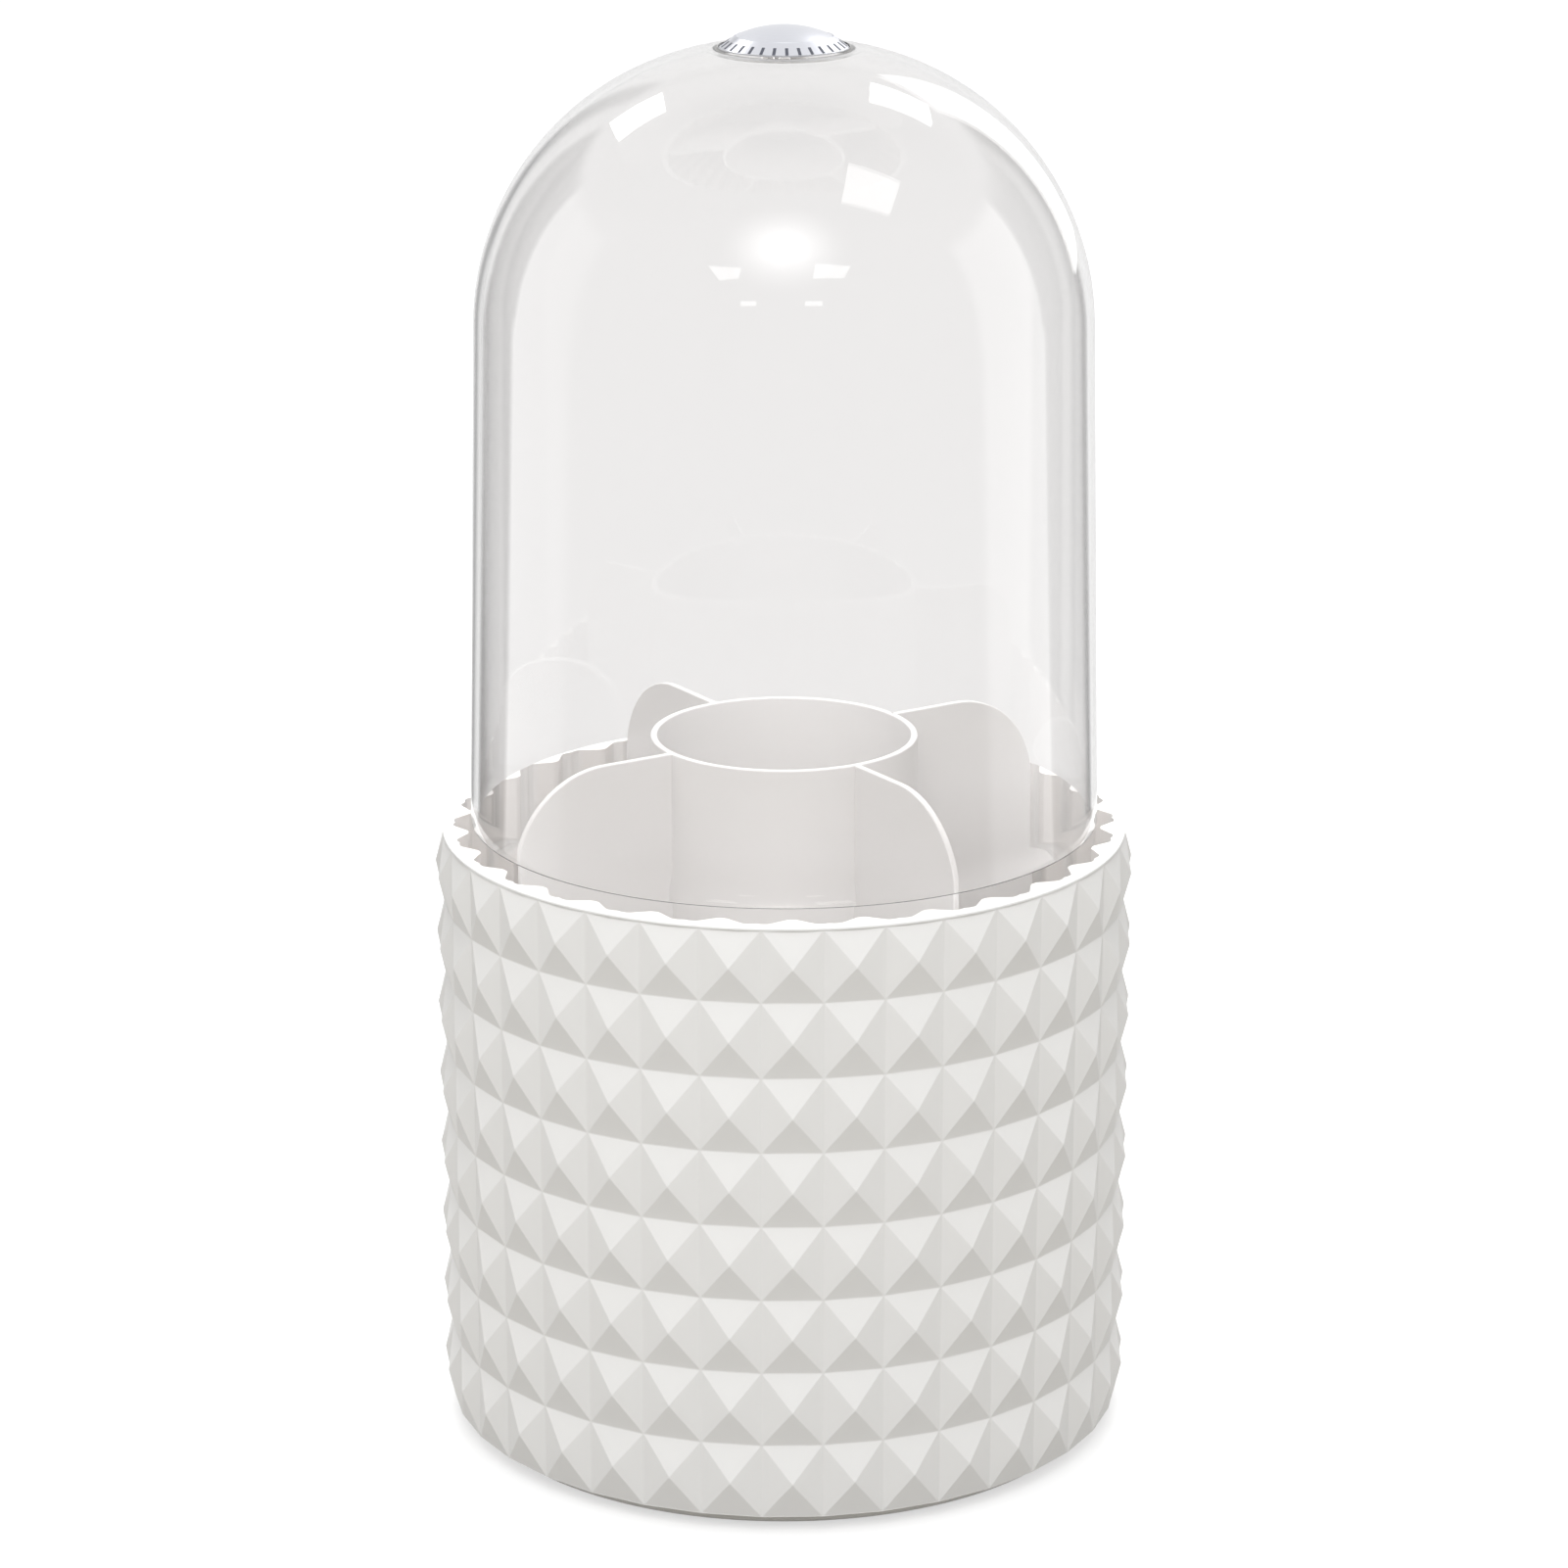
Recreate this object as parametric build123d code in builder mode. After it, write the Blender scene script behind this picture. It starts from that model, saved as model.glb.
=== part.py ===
from build123d import *
from math import cos, radians, sin, sqrt
import os

# Rotating makeup brush holder: a studded cup that turns on a ball bearing over a round foot,
# a lift-out divider with a centre tube and four vanes, and a clear domed lid with a metal badge.
# Millimetres. +Z is up, the origin is the centre of the underside, and the vanes lie along X and Y.

# Cup, outside
stud_columns = 36
stud_rows = 8
stud_row_height = 13.5
stud_valley_radius = 61.0
stud_height = 1.5
cup_turn = -1.3
rim_overhang = 0.1
rim_band_height = 0.5

# Cup, inside
cup_wall = 1.9
rib_count = 30
rib_height = 2.5
rib_foot_share = 0.66
rib_crest_share = 0.22
nub_height = 0.35
nub_share = 0.12
floor_thickness = 2.5
skirt_wall = 5.0
hub_radius = 9.0
hub_rise = 2.5
locator_height = 3.0
locator_wall = 1.4

# Divider
divider_height = 115.7
tube_radius = 23.8
tube_wall = 1.2
vane_count = 4
vane_thickness = 1.2
vane_corner_radius = 17.4

# Lid
lid_wall = 1.4
lid_draft = 1.28
lid_height = 138.75
lid_shoulder_tightening = 5.4
lid_crown_flattening = 5.8
lid_edge_fillet = 0.45

# Badge
badge_radius = 11.3
badge_edge = 2.0
badge_rise = 3.1
badge_edge_fillet = 0.8
badge_sink = 2.4
adhesive_inset = 1.1
adhesive_thickness = 0.3

# Foot and pads
foot_inset = 3.0
foot_flange = 1.8
foot_platform_inset = 5.0
foot_platform_rise = 0.8
foot_edge_chamfer = 0.5
pad_count = 4
pad_radius = 6.0
pad_inset = 8.0
pad_proud = 0.8
pad_depth = 0.8

# Ball bearing
ball_count = 18
ball_radius = 2.0
track_radius = 42.0
race_inner_margin = 9.0
race_outer_margin = 6.0
race_thickness = 1.5
race_spacing = 3.0
cage_width = 7.0
cage_thickness = 1.6

# Race screws
screw_count = 4
screw_radius = 1.1
screw_head_radius = 2.0
screw_head_height = 0.9
screw_length = 3.4
screw_inset = 3.0
driver_slot_width = 0.6
driver_slot_depth = 0.4

# Pivot
bolt_radius = 2.5
bolt_head_radius = 4.75
bolt_head_height = 1.6
bolt_end = 1.2
bolt_end_chamfer = 0.4
driver_socket_width = 3.0
driver_socket_depth = 1.0
bush_radius = 4.6
washer_radius = 5.2
washer_thickness = 1.0
nut_width = 8.0
nut_height = 4.0
foot_hub_radius = 8.0
cap_wall = 1.2
cap_headroom = 0.8
cap_corner_fillet = 0.8

# Clearances
cup_gap = 0.6
ball_gap = 0.1
pocket_gap = 0.15
screw_gap = 0.05
bolt_gap = 0.06
bush_gap = 0.02
hub_gap = 0.4
end_play = 0.1
cap_gap = 0.05
head_recess_gap = 0.25
locator_gap = 0.3
lid_seat_gap = 0.2
lid_mouth_gap = 0.6
badge_seat_gap = 0.25
vane_gap = 2.0

# The largest share of a wall that a rounded or cut edge may take
edge_share = 0.4

# Heights, from the table top upwards
foot_bottom = pad_proud
foot_flange_top = foot_bottom + foot_flange
foot_top = foot_flange_top + foot_platform_rise
cup_bottom = foot_flange_top + cup_gap
rim_top = cup_bottom + stud_rows * stud_row_height
lower_race_top = foot_top + race_thickness
track_level = lower_race_top + race_spacing / 2
upper_race_bottom = lower_race_top + race_spacing
floor_underside = upper_race_bottom + race_thickness
floor_top = floor_underside + floor_thickness
hub_top = floor_top + hub_rise
divider_top = floor_top + divider_height

# Radii, from the cup's valleys inwards
rim_radius = stud_valley_radius + rim_overhang
rib_root_radius = stud_valley_radius - cup_wall
rib_crest_radius = rib_root_radius - rib_height
lid_mouth_radius = rib_crest_radius - lid_mouth_gap
lid_shoulder_radius = lid_mouth_radius - lid_shoulder_tightening
lid_crown_radius = lid_mouth_radius + lid_crown_flattening
vane_radius = rib_crest_radius - vane_gap
recess_radius = stud_valley_radius - skirt_wall
foot_radius = stud_valley_radius - foot_inset
foot_platform_radius = recess_radius - foot_platform_inset
pad_circle_radius = foot_radius - pad_radius - pad_inset
race_inner_radius = track_radius - race_inner_margin
race_outer_radius = track_radius + race_outer_margin
screw_circle_radius = race_inner_radius + screw_inset

# The lid's mouth rests on the vanes' rounded shoulders, just clear of them
lid_inner_mouth_radius = lid_mouth_radius - lid_wall
vane_corner_centre_radius = vane_radius - vane_corner_radius
vane_corner_centre_level = divider_top - vane_corner_radius
lid_seat_run = lid_inner_mouth_radius - vane_corner_centre_radius
lid_seat_reach = vane_corner_radius + lid_seat_gap
lid_bottom = vane_corner_centre_level + sqrt(max(lid_seat_reach**2 - lid_seat_run**2, 0))
lid_top = lid_bottom + lid_height
lid_crown_centre_level = lid_top - lid_crown_radius

# The badge sits in a shallow round seat, sunk below the crown where the seat's wall meets it
badge_seat_radius = badge_radius + badge_seat_gap
badge_seat_edge = lid_crown_centre_level + sqrt(lid_crown_radius**2 - badge_seat_radius**2)
badge_seat_level = badge_seat_edge - badge_sink
badge_bottom = badge_seat_level + adhesive_thickness
column_step = 360 / stud_columns
rib_step = 360 / rib_count


def polar(radius, angle, level=0.0):
    """A point at a radius and an angle about the holder's axis."""
    return (radius * cos(radians(angle)), radius * sin(radians(angle)), level)


def ring(inner_radius, outer_radius, bottom, top):
    """A flat ring between two levels, made in the part that is being built."""
    with BuildSketch(Plane.XY.offset(bottom)) as outline:
        Circle(outer_radius)
        Circle(inner_radius, mode=Mode.SUBTRACT)
    extrude(outline.sketch, amount=top - bottom)


# Studded block: each stud is a low four-sided pyramid, and the grid of valleys is a ring of flats
def studded_block():
    """The closed block that the cup is cut from, with its studs standing out of every flat."""
    levels = [cup_bottom + row * stud_row_height for row in range(stud_rows + 1)]
    edges = [cup_turn + (column - 0.5) * column_step for column in range(stud_columns)]
    rings = [[polar(stud_valley_radius, angle, level) for angle in edges] for level in levels]
    faces = [Face(Wire.make_polygon(rings[0])), Face(Wire.make_polygon(rings[-1]))]
    for row in range(stud_rows):
        middle = (levels[row] + levels[row + 1]) / 2
        for column in range(stud_columns):
            tip = polar(stud_valley_radius + stud_height, edges[column] + column_step / 2, middle)
            after = (column + 1) % stud_columns
            low, high = rings[row], rings[row + 1]
            corners = [low[column], low[after], high[after], high[column]]
            for side in range(4):
                facet = [corners[side], corners[(side + 1) % 4], tip]
                faces.append(Face(Wire.make_polygon(facet)))
    return Solid(Shell(faces))


def rib_corners():
    """Corners of the cup's bore: tall tapered ribs with a low nub in each gap between them."""
    nub_radius = rib_root_radius - nub_height
    foot_angle = rib_step * rib_foot_share / 2
    crest_angle = rib_step * rib_crest_share / 2
    nub_angle = rib_step * nub_share / 2
    corners = []
    for index in range(rib_count):
        middle = cup_turn + index * rib_step
        gap_middle = middle + rib_step / 2
        corners.append(polar(rib_root_radius, middle - foot_angle)[:2])
        corners.append(polar(rib_crest_radius, middle - crest_angle)[:2])
        corners.append(polar(rib_crest_radius, middle + crest_angle)[:2])
        corners.append(polar(rib_root_radius, middle + foot_angle)[:2])
        corners.append(polar(rib_root_radius, gap_middle - nub_angle)[:2])
        corners.append(polar(nub_radius, gap_middle)[:2])
        corners.append(polar(rib_root_radius, gap_middle + nub_angle)[:2])
    return corners


# Hollow of the cup: the ribbed bore over the floor, the bearing recess under it and all its holes
locator_radius = tube_radius - tube_wall - locator_gap
hub_bottom = floor_underside - hub_gap
with BuildPart() as cup_hollow:
    with BuildSketch(Plane.XY.offset(floor_top)):
        with BuildLine():
            Polyline(*rib_corners(), close=True)
        make_face()
        Circle(locator_radius, mode=Mode.SUBTRACT)
        Circle(locator_radius - locator_wall)
        Circle(hub_radius, mode=Mode.SUBTRACT)
    extrude(amount=rim_top - floor_top)
    with BuildSketch(Plane.XY.offset(floor_top + locator_height)):
        Circle(locator_radius + locator_wall)
    extrude(amount=rim_top - floor_top - locator_height)
    with BuildSketch(Plane.XY.offset(hub_top)):
        Circle(hub_radius + locator_wall)
    extrude(amount=rim_top - hub_top)
    with BuildSketch(Plane.XY.offset(cup_bottom)):
        Circle(recess_radius)
    extrude(amount=hub_bottom - cup_bottom)
    with BuildSketch(Plane.XY.offset(hub_bottom)):
        Circle(recess_radius)
        Circle(hub_radius, mode=Mode.SUBTRACT)
    extrude(amount=hub_gap)
    with BuildSketch(Plane.XY.offset(hub_bottom)):
        Circle(bush_radius + bush_gap)
    extrude(amount=hub_top - hub_bottom)
    with BuildSketch(Plane.XY.offset(floor_underside)):
        with PolarLocations(screw_circle_radius, screw_count):
            Circle(screw_radius + screw_gap)
    extrude(amount=screw_length - race_thickness)

# Outer shell: the studded block with its smooth rim band, less the hollow
with BuildPart() as outer_shell:
    add(studded_block())
    with BuildSketch(Plane.XY.offset(rim_top - rim_band_height)):
        Circle(rim_radius)
    extrude(amount=rim_band_height)
    add(cup_hollow.part, mode=Mode.SUBTRACT)
outer_shell.part.label = "outer_shell"

# Divider: one moulding, a tube open at both ends with four vanes whose outer corners are round
with BuildPart() as divider:
    with BuildSketch(Plane.XY.offset(floor_top)):
        Circle(tube_radius)
        with PolarLocations(0, vane_count):
            Rectangle(vane_radius, vane_thickness, align=(Align.MIN, Align.CENTER))
        Circle(tube_radius - tube_wall, mode=Mode.SUBTRACT)
    extrude(amount=divider_height)
    top_middle = Vector(0, 0, divider_top)
    vane_ends = divider.edges().group_by(Axis.Z)[-1].filter_by(
        lambda edge: (edge.center() - top_middle).length > vane_radius - vane_thickness
    )
    fillet(vane_ends, vane_corner_radius)
divider.part.label = "divider"


def lid_outline(inset):
    """Half the lid's outline, drawn inside its outer surface by the inset: wall, shoulder and crown."""
    lean = radians(lid_draft)
    mouth = lid_mouth_radius - inset / cos(lean)
    shoulder = lid_shoulder_radius - inset
    crown = lid_crown_radius - inset
    start_x = mouth - shoulder * cos(lean)
    start_z = lid_bottom - shoulder * sin(lean) - lid_crown_centre_level
    along = start_z * cos(lean) - start_x * sin(lean)
    apart = start_x**2 + start_z**2 - (crown - shoulder) ** 2
    climb = sqrt(along**2 - apart) - along
    centre = Vector(start_x - climb * sin(lean), start_z + climb * cos(lean))
    blend = centre.normalized() * crown
    middle = (centre.normalized() + Vector(cos(lean), sin(lean))).normalized()
    base = Vector(0, lid_crown_centre_level)
    wall_top = base + centre + Vector(cos(lean), sin(lean)) * shoulder
    Line((0, lid_bottom), (mouth, lid_bottom))
    Line((mouth, lid_bottom), (wall_top.X, wall_top.Y))
    shoulder_middle = base + centre + middle * shoulder
    blend_point = base + blend
    ThreePointArc(wall_top, shoulder_middle, blend_point)
    half_way = (blend.normalized() + Vector(0, 1)).normalized() * crown
    top_point = base + Vector(0, crown)
    ThreePointArc(blend_point, base + half_way, top_point)
    Line(top_point, (0, lid_bottom))


# Dome lid: one clear moulding of even wall, open below, dimpled in the middle for the badge
with BuildPart() as dome_lid:
    with BuildSketch(Plane.XZ):
        with BuildLine():
            lid_outline(0)
        make_face()
    revolve(axis=Axis.Z)
    with BuildSketch(Plane.XZ):
        with BuildLine():
            lid_outline(lid_wall)
        make_face()
    revolve(axis=Axis.Z, mode=Mode.SUBTRACT)
    with BuildSketch(Plane.XY.offset(badge_seat_level - lid_wall)):
        Circle(badge_seat_radius + lid_wall)
    extrude(amount=badge_sink + lid_wall / 2)
    with BuildSketch(Plane.XY.offset(badge_seat_level)):
        Circle(badge_seat_radius)
    extrude(amount=lid_top - badge_seat_level, mode=Mode.SUBTRACT)
    mouth_edges = dome_lid.edges().filter_by(GeomType.CIRCLE).group_by(Axis.Z)[0]
    fillet(mouth_edges, min(lid_edge_fillet, edge_share * lid_wall))
dome_lid.part.label = "dome_lid"

# Adhesive disc between the seat and the badge
with BuildPart() as badge_adhesive:
    with BuildSketch(Plane.XY.offset(badge_seat_level)):
        Circle(badge_radius - adhesive_inset)
    extrude(amount=adhesive_thickness)
badge_adhesive.part.label = "badge_adhesive"

# Top badge: a plain metal button with an upright, rounded edge and a domed face
badge_edge_top = badge_bottom + badge_edge
badge_top = badge_edge_top + badge_rise
badge_face_radius = (badge_radius**2 + badge_rise**2) / (2 * badge_rise)
with BuildPart() as top_badge:
    with BuildSketch(Plane.XZ):
        with BuildLine():
            Line((0, badge_bottom), (badge_radius, badge_bottom))
            Line((badge_radius, badge_bottom), (badge_radius, badge_edge_top))
            RadiusArc((badge_radius, badge_edge_top), (0, badge_top), -badge_face_radius)
            Line((0, badge_top), (0, badge_bottom))
        make_face()
    revolve(axis=Axis.Z)
    round_edges = top_badge.edges().filter_by(lambda edge: edge.is_closed)
    fillet(round_edges, min(badge_edge_fillet, edge_share * badge_edge))
top_badge.part.label = "top_badge"

# Foot plate: flange, raised platform for the bearing, pivot hub, and pockets for bolt head and pads
bolt_head_top = foot_bottom + head_recess_gap + bolt_head_height
foot_hub_top = hub_bottom - hub_gap
with BuildPart() as foot_plate:
    with BuildSketch(Plane.XY.offset(foot_bottom)):
        Circle(foot_radius)
    extrude(amount=foot_flange)
    chamfer(foot_plate.edges().group_by(Axis.Z)[0], min(foot_edge_chamfer, edge_share * foot_flange))
    with BuildSketch(Plane.XY.offset(foot_flange_top)):
        Circle(foot_platform_radius)
    extrude(amount=foot_platform_rise)
    with BuildSketch(Plane.XY.offset(foot_top)):
        Circle(foot_hub_radius)
    extrude(amount=foot_hub_top - foot_top)
    with BuildSketch(Plane.XY.offset(bolt_head_top)):
        Circle(bolt_radius + bolt_gap)
    extrude(amount=foot_hub_top - bolt_head_top, mode=Mode.SUBTRACT)
    with BuildSketch(Plane.XY.offset(foot_bottom)):
        Circle(bolt_head_radius + head_recess_gap)
        with PolarLocations(pad_circle_radius, pad_count, start_angle=180 / pad_count):
            Circle(pad_radius)
    extrude(amount=pad_depth, mode=Mode.SUBTRACT)
    with BuildSketch(Plane.XY.offset(foot_bottom)):
        Circle(bolt_head_radius + head_recess_gap)
    extrude(amount=bolt_head_top - foot_bottom, mode=Mode.SUBTRACT)
    with BuildSketch(Plane.XY.offset(foot_top)):
        with PolarLocations(screw_circle_radius, screw_count):
            Circle(screw_radius + screw_gap)
    extrude(amount=race_thickness - screw_length, mode=Mode.SUBTRACT)
foot_plate.part.label = "foot_plate"

# Grip pads: soft discs pressed into the foot's pockets
with BuildPart() as grip_pads:
    with BuildSketch(Plane.XY):
        with PolarLocations(pad_circle_radius, pad_count, start_angle=180 / pad_count):
            Circle(pad_radius)
    extrude(amount=pad_proud + pad_depth)
grip_pads.part.label = "grip_pads"


# Countersunk screws: the cone runs from the head's rim to the shank over the head's height
sink_angle = 2 * Vector(screw_head_height, screw_head_radius - screw_radius).get_angle(Vector(1, 0))


def screw_face(level, facing):
    """The plane of the race's face that its screws go in by: facing is 1 for up and -1 for down."""
    face = Plane.XY.offset(level)
    return face if facing > 0 else face.rotated((180, 0, 0))


def race(bottom, facing):
    """A pressed steel ring with a ball groove and countersunk screw holes, in the part being built."""
    top = bottom + race_thickness
    ring(race_inner_radius, race_outer_radius, bottom, top)
    with BuildSketch(Plane.XZ) as groove:
        with Locations((track_radius, track_level)):
            Circle(ball_radius + ball_gap)
    revolve(groove.sketch, axis=Axis.Z, mode=Mode.SUBTRACT)
    with Locations(screw_face(top if facing > 0 else bottom, facing)):
        with PolarLocations(screw_circle_radius, screw_count):
            CounterSinkHole(
                screw_radius + screw_gap,
                screw_head_radius + screw_gap,
                counter_sink_angle=sink_angle,
            )


with BuildPart() as lower_race:
    race(foot_top, 1)
lower_race.part.label = "lower_race"

with BuildPart() as upper_race:
    race(upper_race_bottom, -1)
upper_race.part.label = "upper_race"


def race_screws(level, facing):
    """Countersunk screws in a circle, heads flush with a race's face, in the part being built."""
    with BuildSketch(Plane.XZ) as outline:
        with BuildLine():
            Polyline(
                (0, 0),
                (screw_head_radius, 0),
                (screw_radius, -screw_head_height),
                (screw_radius, -(screw_length - screw_radius)),
                (0, -screw_length),
                (0, 0),
            )
        make_face()
    screw = revolve(outline.sketch, axis=Axis.Z, mode=Mode.PRIVATE)
    slot = Box(2 * screw_head_radius, driver_slot_width, 2 * driver_slot_depth, mode=Mode.PRIVATE)
    with Locations(screw_face(level, facing)):
        with PolarLocations(screw_circle_radius, screw_count):
            add(screw - slot)


with BuildPart() as lower_race_screws:
    race_screws(lower_race_top, 1)
lower_race_screws.part.label = "lower_race_screws"

with BuildPart() as upper_race_screws:
    race_screws(upper_race_bottom, -1)
upper_race_screws.part.label = "upper_race_screws"

# Ball cage: a flat ring that keeps the balls evenly spaced
with BuildPart() as ball_cage:
    with BuildSketch(Plane.XY.offset(track_level - cage_thickness / 2)):
        Circle(track_radius + cage_width / 2)
        Circle(track_radius - cage_width / 2, mode=Mode.SUBTRACT)
        with PolarLocations(track_radius, ball_count):
            Circle(ball_radius + pocket_gap, mode=Mode.SUBTRACT)
    extrude(amount=cage_thickness)
ball_cage.part.label = "ball_cage"

# Bearing balls
with BuildPart() as bearing_balls:
    with Locations((0, 0, track_level)):
        with PolarLocations(track_radius, ball_count):
            Sphere(ball_radius)
bearing_balls.part.label = "bearing_balls"

# Pivot: bush in the cup's hub, bolt up through the foot, washer, nut and a cap over them
washer_bottom = hub_top + end_play
nut_bottom = washer_bottom + washer_thickness
nut_top = nut_bottom + nut_height
bolt_top = nut_top + bolt_end
bolt_head_bottom = foot_bottom + head_recess_gap

with BuildPart() as pivot_bush:
    ring(bolt_radius + bolt_gap, bush_radius, hub_bottom, hub_top)
pivot_bush.part.label = "pivot_bush"

with BuildPart() as centre_bolt:
    with BuildSketch(Plane.XY.offset(bolt_head_bottom)):
        Circle(bolt_head_radius)
    extrude(amount=bolt_head_height)
    with BuildSketch(Plane.XY.offset(bolt_head_top)):
        Circle(bolt_radius)
    extrude(amount=bolt_top - bolt_head_top)
    chamfer(centre_bolt.edges().group_by(Axis.Z)[-1], min(bolt_end_chamfer, edge_share * bolt_radius))
    with BuildSketch(Plane.XY.offset(bolt_head_bottom)):
        RegularPolygon(driver_socket_width / 2, 6, major_radius=False)
    extrude(amount=driver_socket_depth, mode=Mode.SUBTRACT)
centre_bolt.part.label = "centre_bolt"

with BuildPart() as pivot_washer:
    ring(bolt_radius + screw_gap, washer_radius, washer_bottom, nut_bottom)
pivot_washer.part.label = "pivot_washer"

with BuildPart() as pivot_nut:
    with BuildSketch(Plane.XY.offset(nut_bottom)):
        RegularPolygon(nut_width / 2, 6, major_radius=False)
        Circle(bolt_radius + bush_gap, mode=Mode.SUBTRACT)
    extrude(amount=nut_height)
pivot_nut.part.label = "pivot_nut"

cap_inner_radius = hub_radius + cap_gap
cap_inner_top = bolt_top + cap_headroom
with BuildPart() as bolt_cap:
    with BuildSketch(Plane.XY.offset(floor_top)):
        Circle(cap_inner_radius + cap_wall)
    extrude(amount=cap_inner_top + cap_wall - floor_top)
    fillet(bolt_cap.edges().group_by(Axis.Z)[-1], min(cap_corner_fillet, 2 * edge_share * cap_wall))
    with BuildSketch(Plane.XY.offset(floor_top)):
        Circle(cap_inner_radius)
    extrude(amount=cap_inner_top - floor_top, mode=Mode.SUBTRACT)
bolt_cap.part.label = "bolt_cap"

# How the pieces move: the cup turns without end on the foot, the divider and the lid lift straight up
RevoluteJoint("turntable_spin", foot_plate.part, axis=Axis.Z)
RevoluteJoint("ball_ring_spin", ball_cage.part, axis=Axis.Z)
LinearJoint("divider_lift", outer_shell.part, axis=Axis.Z, linear_range=(0, divider_height))
LinearJoint("lid_lift", divider.part, axis=Axis.Z, linear_range=(0, lid_height))

pieces = [
    outer_shell,
    divider,
    dome_lid,
    badge_adhesive,
    top_badge,
    foot_plate,
    grip_pads,
    lower_race,
    upper_race,
    lower_race_screws,
    upper_race_screws,
    ball_cage,
    bearing_balls,
    pivot_bush,
    centre_bolt,
    pivot_washer,
    pivot_nut,
    bolt_cap,
]
os.makedirs("parts", exist_ok=True)
for piece in pieces:
    export_step(piece.part, f"parts/{piece.part.label}.step")
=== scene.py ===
import math

import bmesh
import bpy
from bpy.props import FloatProperty, FloatVectorProperty, IntProperty, PointerProperty
from bpy.types import Operator, Panel, PropertyGroup
from mathutils import Matrix, Vector


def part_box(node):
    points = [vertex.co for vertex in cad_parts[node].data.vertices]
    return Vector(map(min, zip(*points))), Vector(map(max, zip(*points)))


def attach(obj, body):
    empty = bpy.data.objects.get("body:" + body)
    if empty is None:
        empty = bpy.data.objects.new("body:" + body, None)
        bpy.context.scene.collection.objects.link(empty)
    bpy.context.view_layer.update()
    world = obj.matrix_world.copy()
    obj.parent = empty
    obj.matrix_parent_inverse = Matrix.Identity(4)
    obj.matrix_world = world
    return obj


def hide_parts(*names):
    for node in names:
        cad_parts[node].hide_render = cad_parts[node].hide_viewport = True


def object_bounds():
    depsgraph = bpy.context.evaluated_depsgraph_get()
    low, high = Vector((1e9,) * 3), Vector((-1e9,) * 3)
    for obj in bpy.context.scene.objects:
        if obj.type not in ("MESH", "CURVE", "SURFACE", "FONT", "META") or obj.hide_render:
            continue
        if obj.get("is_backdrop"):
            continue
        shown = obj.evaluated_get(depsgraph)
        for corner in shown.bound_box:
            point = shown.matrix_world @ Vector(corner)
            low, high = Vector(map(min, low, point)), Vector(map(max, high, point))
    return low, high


bl_info = {
    "name": "Rotating brush holder",
    "version": (1, 0, 0),
    "blender": (4, 5, 0),
    "location": "3D View > Sidebar > Holder",
    "description": "Builds a studded turntable cup with a divider, a clear domed lid and a badge",
    "category": "Mesh",
}

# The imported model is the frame. All is in metres
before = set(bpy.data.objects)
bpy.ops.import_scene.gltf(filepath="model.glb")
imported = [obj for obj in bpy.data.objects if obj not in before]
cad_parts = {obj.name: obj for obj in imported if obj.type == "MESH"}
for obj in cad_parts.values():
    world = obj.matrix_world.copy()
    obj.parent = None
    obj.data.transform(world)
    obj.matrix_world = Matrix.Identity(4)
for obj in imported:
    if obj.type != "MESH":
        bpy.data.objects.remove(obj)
MM = 0.001
FULL_TURN = 2 * math.pi

# Flats around each turned piece, and along the lid's arcs
CUP_STEPS = 180
TUBE_STEPS = 144
LID_STEPS = 240
BADGE_STEPS = 120
SHOULDER_STEPS = 36
CROWN_STEPS = 8

# Rings of the lid as shares of its straight wall: all around, and near the mouth outside and inside
LID_RINGS = (0.2, 0.4, 0.6, 0.8, 1)
FOOT_RINGS = (0, 0.02, 0.05)
TAPER_RINGS = (0.03, 0.05)

PLASTIC_IOR = 1.46
ACRYLIC_IOR = 1.49

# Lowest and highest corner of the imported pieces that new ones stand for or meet
cup_low, cup_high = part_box("outer_shell")
divider_low, divider_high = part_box("divider")
lid_low, lid_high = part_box("dome_lid")
badge_low, badge_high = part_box("top_badge")
bush_low, bush_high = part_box("pivot_bush")
floor_top = divider_low.z
floor_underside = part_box("upper_race")[1].z


# Kinds of setting
def in_mm(name, description, default):
    """A length, whose default is given in millimetres."""
    return FloatProperty(name=name, description=description, default=default * MM, unit="LENGTH", precision=5)


def in_degrees(name, description, default):
    """An angle, whose default is given in degrees."""
    return FloatProperty(name=name, description=description, default=math.radians(default), subtype="ANGLE")


def as_number(name, description, default):
    """A plain number, such as a share or a brightness."""
    return FloatProperty(name=name, description=description, default=default)


def as_count(name, description, default, least):
    """A whole number with its least value."""
    return IntProperty(name=name, description=description, default=default, min=least)


def as_colour(name, description, default):
    """A colour, in linear values."""
    return FloatVectorProperty(name=name, description=description, default=default, subtype="COLOR")


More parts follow.
